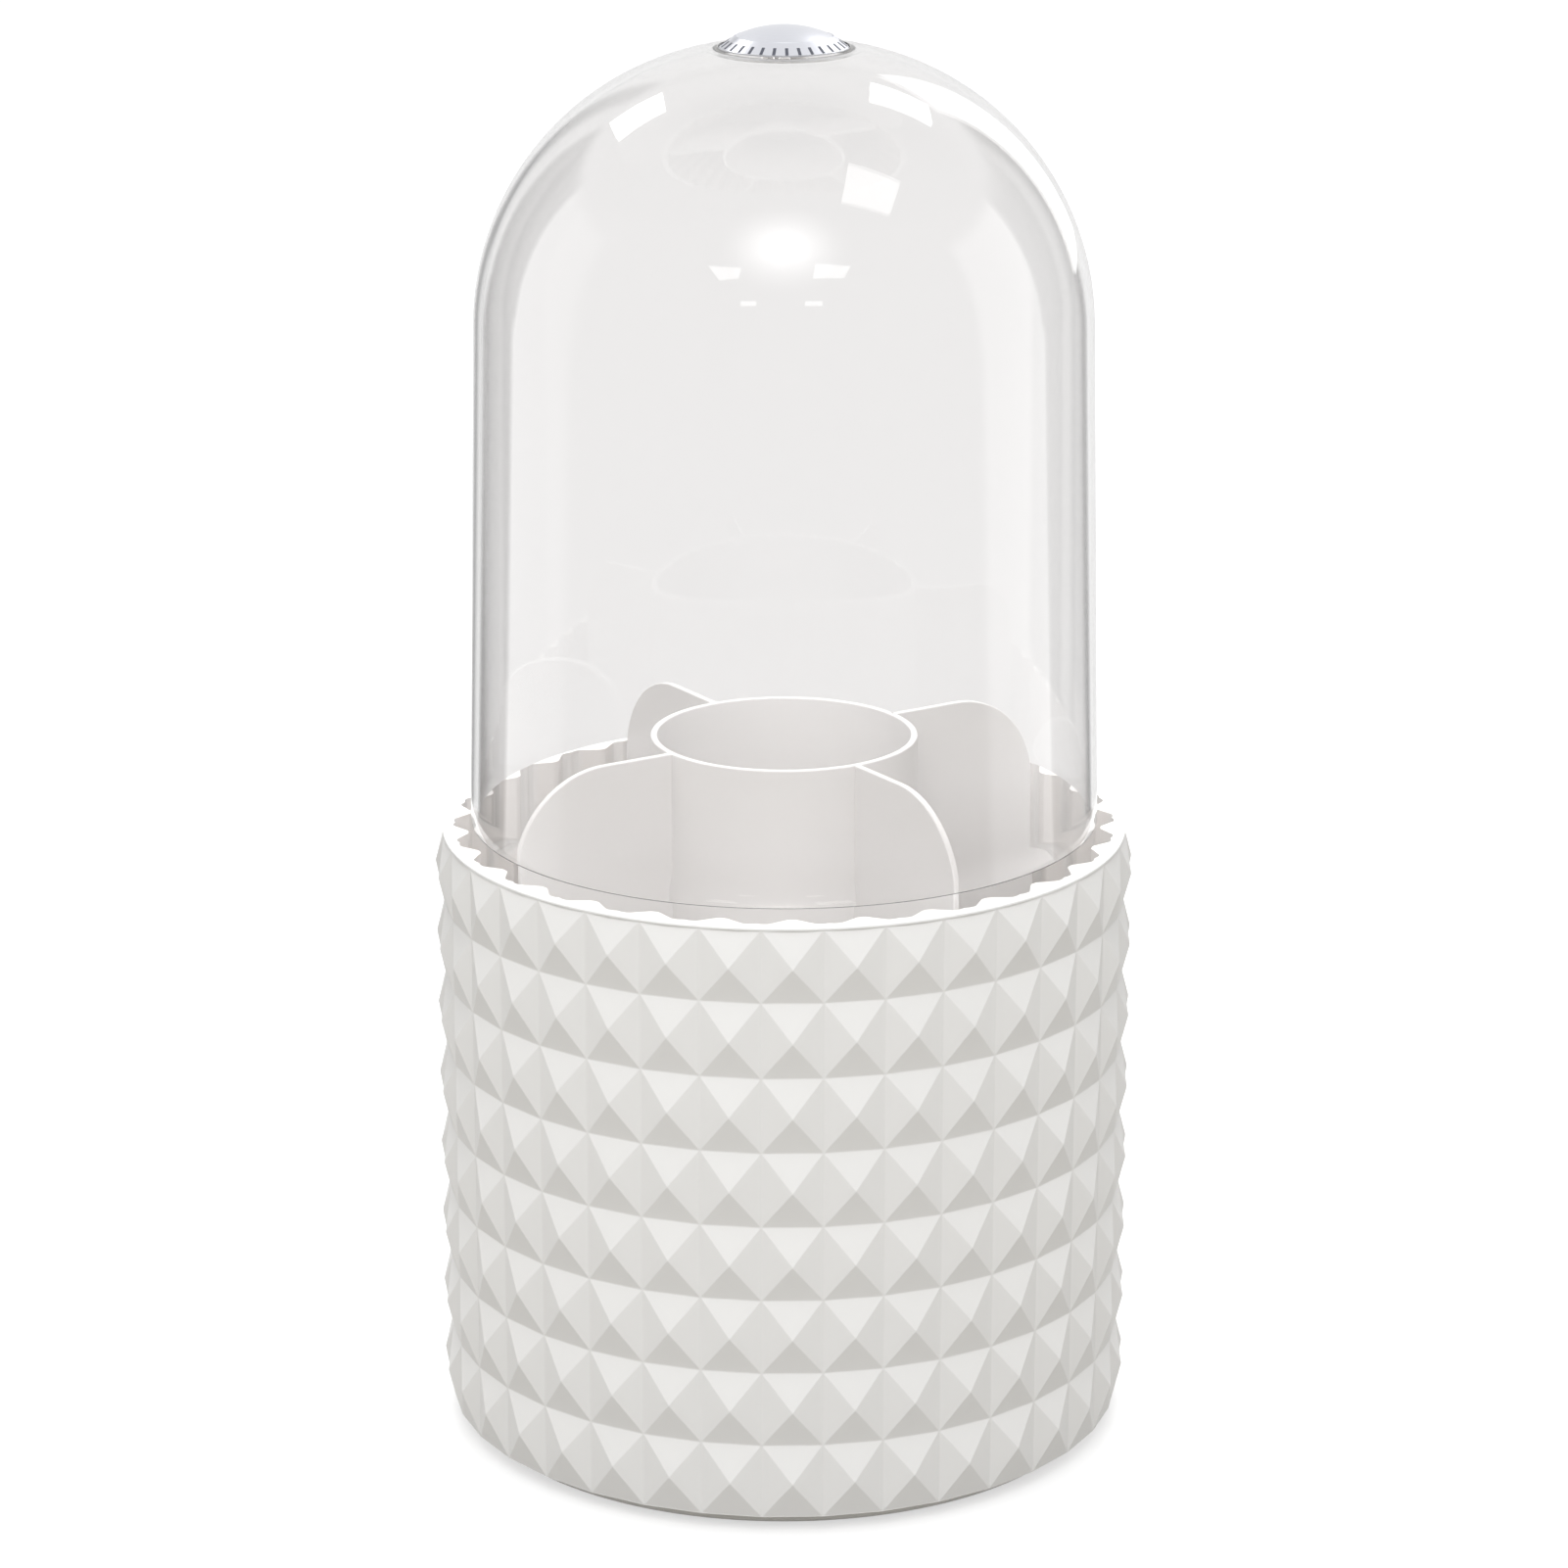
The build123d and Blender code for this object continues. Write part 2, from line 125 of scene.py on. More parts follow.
class CupSettings(PropertyGroup):
    """Sizes of the studded cup."""

    columns: as_count("Stud columns", "Studs around the cup", 36, 3)
    rows: as_count("Stud rows", "Rings of studs, one over another", 8, 1)
    turn: in_degrees("Turn", "Turn of studs and ribs from the divider's vanes", -1.3)
    valley_radius: in_mm("Valley radius", "From the axis to the lines between the studs", 61)
    stud_height: in_mm("Stud height", "How far a stud's tip stands out of the valleys", 1.5)
    valley_width: in_mm("Valley width", "Width of the soft line between two studs", 0.34)
    ridge_round: in_mm("Ridge rounding", "How far a stud's ridges are eased", 0.16)
    rim_overhang: in_mm("Rim overhang", "How far the smooth rim stands out of the valleys", 0.1)
    rim_band: in_mm("Rim band", "Height of the smooth rim", 0.5)
    wall: in_mm("Wall", "Wall between the studs' valleys and the ribs' roots", 1.9)
    ribs: as_count("Ribs", "Upright ribs inside the cup", 30, 3)
    rib_height: in_mm("Rib height", "How far a rib stands out of the wall", 2.5)
    rib_foot: as_number("Rib foot", "Share of the pitch at the root", 0.66)
    rib_crest: as_number("Rib crest", "Share of the pitch at the crest", 0.12)
    nub_height: in_mm("Nub height", "Height of the low ridge between two ribs", 0.35)
    nub_width: as_number("Nub width", "Share of the pitch", 0.12)
    edge_round: in_mm("Edge rounding", "Rounding of the rim and of the ribs", 0.3)
    skirt: in_mm("Skirt", "Wall around the bearing's recess", 5)
    hub_radius: in_mm("Hub radius", "Radius of the hub in the middle of the floor", 9)
    locator_height: in_mm("Locator height", "Height of the ring that centres the tube", 3)
    locator_wall: in_mm("Locator wall", "Wall of the ring that centres the tube", 1.4)
    locator_gap: in_mm("Locator gap", "Room between that ring and the tube", 0.3)
    floor_margin: in_mm("Floor margin", "From the ribs' crests to the turned part of the floor", 0.4)


class DividerSettings(PropertyGroup):
    """Sizes of the divider."""

    tube_radius: in_mm("Tube radius", "Outer radius of the centre tube", 23.8)
    wall: in_mm("Wall", "Wall of the tube and thickness of the vanes", 1.2)
    vanes: as_count("Vanes", "Vanes around the tube", 4, 1)
    corner_radius: in_mm("Corner radius", "Rounding of a vane's outer top corner", 17.4)
    edge_round: in_mm("Edge rounding", "Rounding of the thin upper edges", 0.3)


class LidSettings(PropertyGroup):
    """Sizes of the clear lid."""

    mouth_radius: in_mm("Mouth radius", "Outer radius at the open end", 56)
    wall: in_mm("Wall", "Thickness of the clear wall", 1.4)
    draft: in_degrees("Draft", "How far the wall leans in", 1.25)
    shoulder_radius: in_mm("Shoulder radius", "Radius of the arc over the straight wall", 49.2)
    crown_radius: in_mm("Crown radius", "Radius of the arc over the shoulder", 76)
    seat_radius: in_mm("Seat radius", "A hair inside the badge, whose edge shows through the lip", 11.25)
    seat_depth: in_mm("Seat depth", "Depth of the seat's floor below the packed lid's top", 2.4)
    edge_sink: in_mm("Edge sink", "Depth of the seat's edge below the packed lid's top", 0.5)
    ceiling_radius: in_mm("Ceiling radius", "Where the inside ends in the underside of the seat", 11.9)
    ceiling_wall: in_mm("Ceiling wall", "Wall between the seat's floor and its underside", 0.35)
    lip: in_mm("Lip", "Thickness that the wall tapers to at the mouth", 0.45)
    edge_round: in_mm("Edge rounding", "Rounding of the mouth's edges", 0.12)
    seat_round: in_mm("Seat rounding", "Rounding of the seat's edge", 0.2)


class BadgeSettings(PropertyGroup):
    """Sizes of the metal badge."""

    foot_round: in_mm("Foot rounding", "Rounding of the lower edge", 0.8)
    band_low: in_mm("Band's lower edge", "Height of the marked band's outer edge", 1.35)
    band_high: in_mm("Band's upper edge", "Height of the marked band's inner edge", 3.3)
    face_radius: in_mm("Face", "Radius of the domed face inside the marked band", 8.3)
    step_width: in_mm("Step", "Width and depth of the fine step between band and face", 0.16)
    marks: as_count("Marks", "Plain marks around the badge", 30, 1)
    mark_length: in_mm("Mark length", "Length of a mark along the band's slope", 1.7)
    mark_width: in_mm("Mark width", "Width of a mark", 0.55)
    mark_height: in_mm("Mark height", "Thickness of a mark", 0.1)
    mark_round: in_mm("Mark rounding", "Rounding of a mark's edges", 0.03)
    mark_place: as_number("Mark place", "Share of the slope from its inner edge to a mark's middle", 0.64)


class FinishSettings(PropertyGroup):
    """Colours of the finishes, with one painted warm bounce tint for the cup's inside, as linear values."""

    cup_colour: as_colour("Cup", "White of the cup", (0.8, 0.8, 0.795))
    # Painted light: a warm tint multiplied into the cup's colour inside its bore, standing in for light
    # warmed between its white walls
    painted_bounce_tint: as_colour("Cup's inside", "Tint of the cup between its ribs", (1, 0.965, 0.945))
    insert_colour: as_colour("Divider", "White of the divider", (0.85, 0.838, 0.83))
    lid_colour: as_colour("Lid", "Tint of the clear lid", (0.918, 0.911, 0.908))
    badge_colour: as_colour("Badge", "Silver of the badge", (0.7, 0.71, 0.755))
    mark_colour: as_colour("Marks", "Dark fill of the badge's marks", (0.06, 0.065, 0.085))
    foot_colour: as_colour("Foot", "White of the foot", (0.74, 0.735, 0.71))
    rubber_colour: as_colour("Pads", "Grey of the soft pads", (0.3, 0.3, 0.3))
    steel_colour: as_colour("Steel", "Grey of the steel pieces", (0.56, 0.57, 0.58))
    cage_colour: as_colour("Cage and bush", "Natural plastic of the bearing", (0.7, 0.69, 0.64))
    foam_colour: as_colour("Foam", "White of the badge's adhesive", (0.72, 0.72, 0.72))


class StageSettings(PropertyGroup):
    """Camera, floor and light."""

    camera_azimuth: in_degrees("Azimuth", "Direction that the camera stands in", 32.66)
    camera_distance: in_mm("Distance", "From the axis to the camera, level", 861)
    camera_height: in_mm("Height", "Camera over the floor", 379.5)
    camera_pitch: in_degrees("Pitch", "How far the camera looks down", 16.9)
    camera_lens: as_number("Lens", "Focal length in millimetres", 115.56)
    floor_radius: in_mm("Floor", "Radius of the pale floor", 4000)
    floor_tone: as_number("Floor tone", "Pale grey that the camera meets", 0.45)
    floor_lift: as_number("Floor lift", "Light added where the floor shows", 0.58)
    floor_bounce: as_colour("Floor bounce", "Warm tone that the floor throws up", (0.22, 0.2, 0.165))
    near_level: as_number("Near floor", "Brightness mirrored close by", 0.9)
    sides_start: in_mm("Sides start", "Distance from which the floor mirrors as the sides", 240)
    sides_blend: in_mm("Sides blend", "Width over which it comes to mirror as the sides", 100)
    world_level: as_number("World", "Even light on rough surfaces", 0.86)


class HolderSettings(PropertyGroup):
    """All settings of the brush holder."""

    cup: PointerProperty(type=CupSettings, name="Cup", description="Sizes of the cup")
    divider: PointerProperty(type=DividerSettings, name="Divider", description="Sizes of the divider")
    lid: PointerProperty(type=LidSettings, name="Lid", description="Sizes of the lid")
    badge: PointerProperty(type=BadgeSettings, name="Badge", description="Sizes of the badge")
    finish: PointerProperty(type=FinishSettings, name="Finish", description="Colours")
    stage: PointerProperty(type=StageSettings, name="Stage", description="Camera, floor and light")


# Mesh helpers
def points_of(geometry):
    """The vertices among mixed elements of a mesh."""
    return [item for item in geometry if isinstance(item, bmesh.types.BMVert)]


def turn_about_axis(bm, geometry, steps):
    """Spins an outline in the XZ plane a full turn, closing its seam."""
    bmesh.ops.spin(
        bm, geom=geometry, cent=(0, 0, 0), axis=(0, 0, 1), angle=FULL_TURN, steps=steps, use_merge=True
    )


def repeat_about_axis(bm, geometry, count):
    """Copies geometry evenly around the axis until it is there this many times."""
    angle = FULL_TURN - FULL_TURN / count
    bmesh.ops.spin(
        bm, geom=geometry, cent=(0, 0, 0), axis=(0, 0, 1), angle=angle, steps=count - 1, use_duplicate=True
    )


def join_up(bm, points):
    """Draws a line from each point to the next and returns the lines."""
    return [bm.edges.new(pair) for pair in zip(points, points[1:])]


def turned(bm, outline, steps):
    """Turns an open outline of (radius, level) points about the axis."""
    points = [bm.verts.new((radius, 0, level)) for radius, level in outline]
    turn_about_axis(bm, points + join_up(bm, points), steps)


def raise_edges(bm, edges, rise):
    """Draws edges straight up and returns the new points and faces."""
    grown = bmesh.ops.extrude_edge_only(bm, edges=edges)["geom"]
    points = points_of(grown)
    bmesh.ops.translate(bm, verts=points, vec=(0, 0, rise))
    return points, [item for item in grown if isinstance(item, bmesh.types.BMFace)]


def weld(bm, distance=0.001 * MM):
    """Closes seams and poles, and turns all faces outwards."""
    bmesh.ops.remove_doubles(bm, verts=bm.verts, dist=distance)
    bmesh.ops.dissolve_degenerate(bm, edges=bm.edges, dist=distance)
    bmesh.ops.recalc_face_normals(bm, faces=bm.faces)


def ring_edges(bm, level, low_radius=0.0, high_radius=math.inf, slack=0.01 * MM):
    """The edges that lie at one level between two distances from the axis."""
    return [
        edge
        for edge in bm.edges
        if all(
            abs(vert.co.z - level) < slack and low_radius - slack < vert.co.xy.length < high_radius + slack
            for vert in edge.verts
        )
    ]


def close_level(bm, level):
    """Fills the plane between the two open loops at one level."""
    edges = [edge for edge in ring_edges(bm, level) if edge.is_boundary]
    bmesh.ops.triangle_fill(bm, edges=edges, use_beauty=True, normal=(0, 0, 1))


def ease(bm, geometry, width, segments=3, affect="EDGES"):
    """Rounds edges, or corners of a flat face, by a bevel of this width."""
    bmesh.ops.bevel(
        bm,
        geom=geometry,
        offset=width,
        offset_type="OFFSET",
        segments=segments,
        profile=0.5,
        affect=affect,
        material=-1,
        clamp_overlap=True,
    )


def shade(bm, sharpest=math.radians(32)):
    """Smooth faces, with a crease where two faces turn by more than an eased edge does."""
    for face in bm.faces:
        face.smooth = True
    for edge in bm.edges:
        edge.smooth = len(edge.link_faces) != 2 or edge.calc_face_angle() < sharpest


def add_object(name, data):
    """Puts an object with this data into the scene."""
    thing = bpy.data.objects.new(name, data)
    bpy.context.scene.collection.objects.link(thing)
    return thing


def mesh_object(name, bm, material):
    """Makes the mesh an object with one material."""
    mesh = bpy.data.meshes.new(name)
    bm.to_mesh(mesh)
    bm.free()
    mesh.materials.append(material)
    return add_object(name, mesh)


def add_piece(name, bm, body, slot, material, *nodes):
    """Makes the mesh a piece that rides on a body and stands for nodes of the frame."""
    piece = mesh_object(name, bm, material)
    even = piece.modifiers.new("even_shading", "WEIGHTED_NORMAL")
    even.keep_sharp = True
    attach(piece, body)
    if nodes:
        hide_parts(*nodes)


# Cup
def stud_skin(bm, cup):
    """The cup's outside: rings of flats that are pushed out into four-sided studs."""
    row_height = (cup_high.z - cup_low.z) / cup.rows
    half_column = FULL_TURN / cup.columns / 2
    start = bmesh.ops.create_circle(bm, segments=cup.columns, radius=cup.valley_radius)
    bmesh.ops.rotate(bm, verts=start["verts"], matrix=Matrix.Rotation(cup.turn - half_column, 3, "Z"))
    bmesh.ops.translate(bm, verts=start["verts"], vec=(0, 0, cup_low.z))
    edges = list(bm.edges)
    flats = []
    for row in range(cup.rows):
        step = row_height - (cup.rim_band if row == cup.rows - 1 else 0)
        points, faces = raise_edges(bm, edges, step)
        flats += faces
        upper = set(points)
        edges = [edge for edge in bm.edges if set(edge.verts) <= upper]
    bmesh.ops.recalc_face_normals(bm, faces=flats)
    for flat in flats:
        if flat.normal.dot(flat.calc_center_median()) < 0:
            flat.normal_flip()
    bmesh.ops.inset_individual(bm, faces=flats, thickness=cup.valley_width / 2, use_even_offset=True)
    flat_radius = cup.valley_radius * math.cos(half_column)
    tip_rise = cup.valley_radius + cup.stud_height - flat_radius
    tips = bmesh.ops.poke(bm, faces=flats, offset=tip_rise)["verts"]
    ridges = list({edge for tip in tips for edge in tip.link_edges})
    ease(bm, ridges, cup.ridge_round, 2)


def rib_outline(cup):
    """Corners of one rib and of the low nub beside it, as (radius, share of the pitch) pairs."""
    root = cup.valley_radius - cup.wall
    crest = root - cup.rib_height
    return [
        (root, -cup.rib_foot / 2),
        (crest, -cup.rib_crest / 2),
        (crest, cup.rib_crest / 2),
        (root, cup.rib_foot / 2),
        (root, (1 - cup.nub_width) / 2),
        (root - cup.nub_height, 0.5),
        (root, (1 + cup.nub_width) / 2),
        (root, 1 - cup.rib_foot / 2),
    ]


def ribbed_bore(bm, cup):
    """The cup's inner wall: one rib's outline repeated around the axis and drawn up to the rim."""
    pitch = FULL_TURN / cup.ribs
    points = []
    for radius, share in rib_outline(cup):
        angle = cup.turn + share * pitch
        points.append(bm.verts.new((radius * math.cos(angle), radius * math.sin(angle), floor_top)))
    repeat_about_axis(bm, points + join_up(bm, points), cup.ribs)
    foot = [vert for vert in bm.verts if vert.is_wire and abs(vert.co.z - floor_top) < MM]
    bmesh.ops.remove_doubles(bm, verts=foot, dist=0.01 * MM)
    around = [edge for edge in bm.edges if edge.is_wire and abs(edge.verts[0].co.z - floor_top) < MM]
    crowns, _ = raise_edges(bm, around, cup_high.z - floor_top)
    upright = {
        edge for vert in crowns for edge in vert.link_edges if edge.verts[0].co.z != edge.verts[1].co.z
    }
    ease(bm, list(upright), cup.edge_round, 2)


def cup_mesh(cup, divider):
    """The whole cup as one closed mesh."""
    bm = bmesh.new()
    stud_skin(bm, cup)
    ribbed_bore(bm, cup)
    rim_radius = cup.valley_radius + cup.rim_overhang
    rim_inner = rim_radius - cup.wall
    band_bottom = cup_high.z - cup.rim_band
    turned(bm, [(rim_radius, band_bottom), (rim_radius, cup_high.z), (rim_inner, cup_high.z)], CUP_STEPS)
    locator = divider.tube_radius - divider.wall - cup.locator_gap
    bush = bush_high.x
    recess = cup.valley_radius - cup.skirt
    floor_outer = cup.valley_radius - cup.wall - cup.rib_height - cup.floor_margin
    locator_top = floor_top + cup.locator_height
    underside = [
        (floor_outer, floor_top),
        (locator, floor_top),
        (locator, locator_top),
        (locator - cup.locator_wall, locator_top),
        (locator - cup.locator_wall, floor_top),
        (cup.hub_radius, floor_top),
        (cup.hub_radius, bush_high.z),
        (bush, bush_high.z),
        (bush, bush_low.z),
        (cup.hub_radius, bush_low.z),
        (cup.hub_radius, floor_underside),
        (recess, floor_underside),
        (recess, cup_low.z),
    ]
    turned(bm, underside, CUP_STEPS)
    for level in (band_bottom, cup_high.z, floor_top, cup_low.z):
        close_level(bm, level)
    bmesh.ops.recalc_face_normals(bm, faces=bm.faces)
    ease(bm, ring_edges(bm, cup_high.z, rim_radius, rim_radius), cup.edge_round)
    shade(bm)
    return bm


class HOLDER_OT_cup(Operator):
    """Builds the studded cup with its rim, ribs and floor"""

    bl_idname = "holder.cup"
    bl_label = "Studded cup"

    def execute(self, context):
        """Makes the cup in place of its node."""
        holder = context.scene.brush_holder
        bm = cup_mesh(holder.cup, holder.divider)
        material = moulded_plastic("cup_white", holder.finish.cup_colour, 0.42)
        # Painted warm bounce light on the cup's inside
        paint_warm_bounce(material, holder.cup.valley_radius - holder.cup.wall + MM, holder.finish.painted_bounce_tint)
        add_piece("studded_cup", bm, "cup", "white_plastic", material, "outer_shell")
        return {"FINISHED"}


# Divider
def centre_tube(bm, divider):
    """The tube of the divider, open at both ends, with rounded edges."""
    outer = divider.tube_radius
    inner = outer - divider.wall
    low, high = divider_low.z, divider_high.z
    turned(bm, [(outer, low), (outer, high), (inner, high), (inner, low), (outer, low)], TUBE_STEPS)
    weld(bm)
    ease(bm, ring_edges(bm, high), divider.edge_round)


def vane(bm, divider):
    """One flat vane with a rounded outer corner, from inside the tube's wall outwards."""
    start = divider.tube_radius - divider.wall / 2
    reach = divider_high.x
    low, high = divider_low.z, divider_high.z
    corners = [(start, low), (reach, low), (reach, high), (start, high)]
    verts = [bm.verts.new((x, -divider.wall / 2, z)) for x, z in corners]
    bm.faces.new(verts)
    ease(bm, [verts[2]], divider.corner_radius, 20, "VERTICES")
    grown = bmesh.ops.extrude_face_region(bm, geom=list(bm.faces), use_keep_orig=True)["geom"]
    bmesh.ops.translate(bm, verts=points_of(grown), vec=(0, divider.wall, 0))


def divider_mesh(divider):
    """The tube with its vanes."""
    bm = bmesh.new()
    vane(bm, divider)
    weld(bm)
    rims = [
        edge
        for edge in bm.edges
        if edge.calc_face_angle() > math.radians(60)
        and abs(edge.verts[0].co.y - edge.verts[1].co.y) < 0.1 * MM
        and max(vert.co.x for vert in edge.verts) > divider.tube_radius
        and max(vert.co.z for vert in edge.verts) > divider_low.z + MM
    ]
    ease(bm, rims, divider.edge_round)
    repeat_about_axis(bm, list(bm.verts) + list(bm.edges) + list(bm.faces), divider.vanes)
    tube = bmesh.new()
    centre_tube(tube, divider)
    joined = bpy.data.meshes.new("tube")
    tube.to_mesh(joined)
    tube.free()
    bm.from_mesh(joined)
    bpy.data.meshes.remove(joined)
    bmesh.ops.recalc_face_normals(bm, faces=bm.faces)
    shade(bm)
    return bm


class HOLDER_OT_divider(Operator):
    """Builds the white divider that stands in the cup"""

    bl_idname = "holder.divider"
    bl_label = "Divider"

    def execute(self, context):
        """Makes the divider in place of its node."""
        holder = context.scene.brush_holder
        material = moulded_plastic("insert_white", holder.finish.insert_colour, 0.3)
        bm = divider_mesh(holder.divider)
        add_piece("divider_insert", bm, "insert", "white_insert", material, "divider")
        return {"FINISHED"}


# Lid
def lid_centres(lid):
    """The shoulder's centre, the direction of its blend into the crown, and the crown's centre."""
    lean = lid.draft
    edge_level = lid_high.z - lid.edge_sink
    crown_centre = Vector((0, edge_level - math.sqrt(lid.crown_radius**2 - lid.seat_radius**2)))
    along = Vector((-math.sin(lean), math.cos(lean)))
    out = Vector((math.cos(lean), math.sin(lean)))
    start = Vector((lid.mouth_radius, lid_low.z)) - out * lid.shoulder_radius - crown_centre
    apart = lid.crown_radius - lid.shoulder_radius
    lift = -start.dot(along) + math.sqrt(start.dot(along) ** 2 - start.length_squared + apart**2)
    shoulder_centre = crown_centre + start + along * lift
    blend = (shoulder_centre - crown_centre).normalized()
    return shoulder_centre, blend, crown_centre


def draw_arc(bm, vert, centre, angle, steps):
    """Draws an arc on from a vertex, about a centre in the XZ plane, and returns its end."""
    drawn = bmesh.ops.spin(
        bm, geom=[vert], cent=(centre.x, 0, centre.y), axis=(0, -1, 0), angle=angle, steps=steps
    )
    return points_of(drawn["geom_last"])[0]


def lid_side(bm, lid, inset, rings, reach):
    """Draws wall, shoulder and crown of the outside or, at an inset, of the inside. Returns both ends."""
    shoulder_centre, blend, crown_centre = lid_centres(lid)
    out = Vector((math.cos(lid.draft), math.sin(lid.draft)))
    wall_top = shoulder_centre + out * (lid.shoulder_radius - inset)
    along = Vector((-math.tan(lid.draft), 1))
    height = wall_top.y - lid_low.z
    mouth = wall_top - along * height
    points = []
    for ring in rings:
        place = mouth + along * height * ring
        points.append(bm.verts.new((place.x, 0, place.y)))
    join_up(bm, points)
    blend_angle = math.atan2(blend.y, blend.x)
    crown = draw_arc(bm, points[-1], shoulder_centre, blend_angle - lid.draft, SHOULDER_STEPS)
    end_angle = math.acos(reach / (lid.crown_radius - inset))
    return points[0], draw_arc(bm, crown, crown_centre, end_angle - blend_angle, CROWN_STEPS)


def lid_mesh(lid):
    """The clear lid: outside and inside drawn in one outline and turned about the axis."""
    bm = bmesh.new()
    foot, edge = lid_side(bm, lid, 0, FOOT_RINGS + LID_RINGS, lid.seat_radius)
    taper, step = lid_side(bm, lid, lid.wall, TAPER_RINGS + LID_RINGS, lid.ceiling_radius)
    seat_edge = edge.co.z
    seat_floor = lid_high.z - lid.seat_depth
    ceiling = seat_floor - lid.ceiling_wall
    lip = bm.verts.new((lid.mouth_radius - lid.lip, 0, lid_low.z))
    join_up(bm, [foot, lip, taper])
    for start, level in ((edge, seat_floor), (step, ceiling)):
        corners = [bm.verts.new((radius, 0, level)) for radius in (lid.seat_radius, 0)]
        join_up(bm, [start] + corners)
    turn_about_axis(bm, list(bm.verts) + list(bm.edges), LID_STEPS)
    weld(bm)
    ease(bm, ring_edges(bm, lid_low.z), lid.edge_round)
    ease(bm, ring_edges(bm, seat_edge, lid.seat_radius, lid.seat_radius), lid.seat_round)
    ease(bm, ring_edges(bm, ceiling, lid.seat_radius, lid.seat_radius), lid.seat_round)
    for face in bm.faces:
        face.smooth = True
    return bm


class HOLDER_OT_lid(Operator):
    """Builds the clear domed lid"""

    bl_idname = "holder.lid"
    bl_label = "Domed lid"

    def execute(self, context):
        """Makes the lid in place of its node."""
        holder = context.scene.brush_holder
        material = clear_plastic("lid_clear", holder.finish.lid_colour)
        add_piece("domed_lid", lid_mesh(holder.lid), "lid", "clear_plastic", material, "dome_lid")
        return {"FINISHED"}


# Badge
def badge_mesh(badge):
    """A button with a rounded edge, a sloping band and a domed face inside a fine step."""
    radius = badge_high.x
    low = badge_low.z
    face_edge = low + badge.band_high
    rise = badge_high.z - face_edge
    face_ball = (badge.face_radius**2 + rise**2) / (2 * rise)
    face_centre = badge_high.z - face_ball
    band_reach = radius - badge.step_width
    outline = [
        (0, low),
        (radius, low),
        (radius, low + badge.band_low - badge.step_width),
        (band_reach, low + badge.band_low),
        (badge.face_radius + badge.step_width, face_edge),
        (badge.face_radius + badge.step_width / 2, face_edge - badge.step_width),
        (badge.face_radius, face_edge),
    ]
    rings = 10
    for ring in range(1, rings + 1):
        distance = badge.face_radius * (1 - ring / rings)
        outline.append((distance, face_centre + math.sqrt(face_ball**2 - distance**2)))
    bm = bmesh.new()
    turned(bm, outline, BADGE_STEPS)
    weld(bm)
    ease(bm, ring_edges(bm, low, radius, radius), badge.foot_round, 5)
    ease(bm, ring_edges(bm, low + badge.band_low, band_reach, band_reach), badge.step_width)
    shade(bm)
    return bm


def marks_mesh(badge):
    """Plain bars around the badge, each a little proud of its band."""
    inner = Vector((badge.face_radius + badge.step_width, badge.band_high))
    outer = Vector((badge_high.x - badge.step_width, badge.band_low))
    middle = inner.lerp(outer, badge.mark_place)
    tilt = math.atan2(inner.y - outer.y, outer.x - inner.x)
    bm = bmesh.new()
    size = Matrix.Diagonal((badge.mark_length, badge.mark_width, badge.mark_height, 1))
    lean = Matrix.Rotation(tilt, 4, "Y")
    for mark in range(badge.marks):
        shift = Matrix.Translation((middle.x, 0, badge_low.z + middle.y))
        place = Matrix.Rotation(FULL_TURN * mark / badge.marks, 4, "Z") @ shift
        bmesh.ops.create_cube(bm, size=1, matrix=place @ lean @ size)
    ease(bm, list(bm.edges), badge.mark_round, 1)
    return bm


class HOLDER_OT_badge(Operator):
    """Builds the silver badge with its ring of plain marks"""

    bl_idname = "holder.badge"
    bl_label = "Badge"

    def execute(self, context):
        """Makes the badge in place of its node."""
        holder = context.scene.brush_holder
        silver = turned_metal("badge_silver", holder.finish.badge_colour, 0.3)
        dark = moulded_plastic("mark_dark", holder.finish.mark_colour, 0.4)
        add_piece("badge_button", badge_mesh(holder.badge), "lid", "badge_metal", silver, "top_badge")
        add_piece("badge_marks", marks_mesh(holder.badge), "lid", "badge_metal", dark)
        return {"FINISHED"}


# Shader groups
FINISH_INPUTS = [
    ("Colour", "NodeSocketColor", (0.8, 0.8, 0.8, 1)),
    ("Drift", "NodeSocketFloat", 0.02),
    ("Roughness", "NodeSocketFloat", 0.4),
    ("Gloss spread", "NodeSocketFloat", 0.1),
]
FINISH_OUTPUTS = [
    ("Colour", "NodeSocketColor"),
    ("Roughness", "NodeSocketFloat"),
    ("Height", "NodeSocketFloat"),
]


def new_group(name, inputs, outputs):
    """A shader node group with named inputs and outputs, and its group nodes."""
    group = bpy.data.node_groups.new(name, "ShaderNodeTree")
    for label, kind, value in inputs:
        socket = group.interface.new_socket(label, in_out="INPUT", socket_type=kind)
        socket.default_value = value
    for label, kind in outputs:
        group.interface.new_socket(label, in_out="OUTPUT", socket_type=kind)
    return group, group.nodes.new("NodeGroupInput"), group.nodes.new("NodeGroupOutput")


def feed(tree, socket, value):
    """Gives an input a plain value, or links another node's output to it."""
    if isinstance(value, bpy.types.NodeSocket):
        tree.links.new(value, socket)
    else:
        socket.default_value = value


def add_node(tree, kind, feeds, **traits):
    """A shader node with its own settings, and with inputs that are fed by name or number."""
    node = tree.nodes.new("ShaderNode" + kind)
    for trait, value in traits.items():
        setattr(node, trait, value)
    for label, value in feeds.items():
        feed(tree, node.inputs[label], value)
    return node


def math_node(tree, operation, first, second):
    """The result of a Math node on sockets or numbers."""
    return add_node(tree, "Math", {0: first, 1: second}, operation=operation).outputs[0]


def vector_node(tree, operation, *vectors):
    """The result of a Vector Math node on sockets or plain vectors."""
    node = add_node(tree, "VectorMath", dict(enumerate(vectors)), operation=operation)
    return node.outputs["Value" if operation == "LENGTH" else "Vector"]


def own_place(tree):
    """A place in the piece's own coordinates."""
    return add_node(tree, "TexCoord", {}).outputs["Object"]


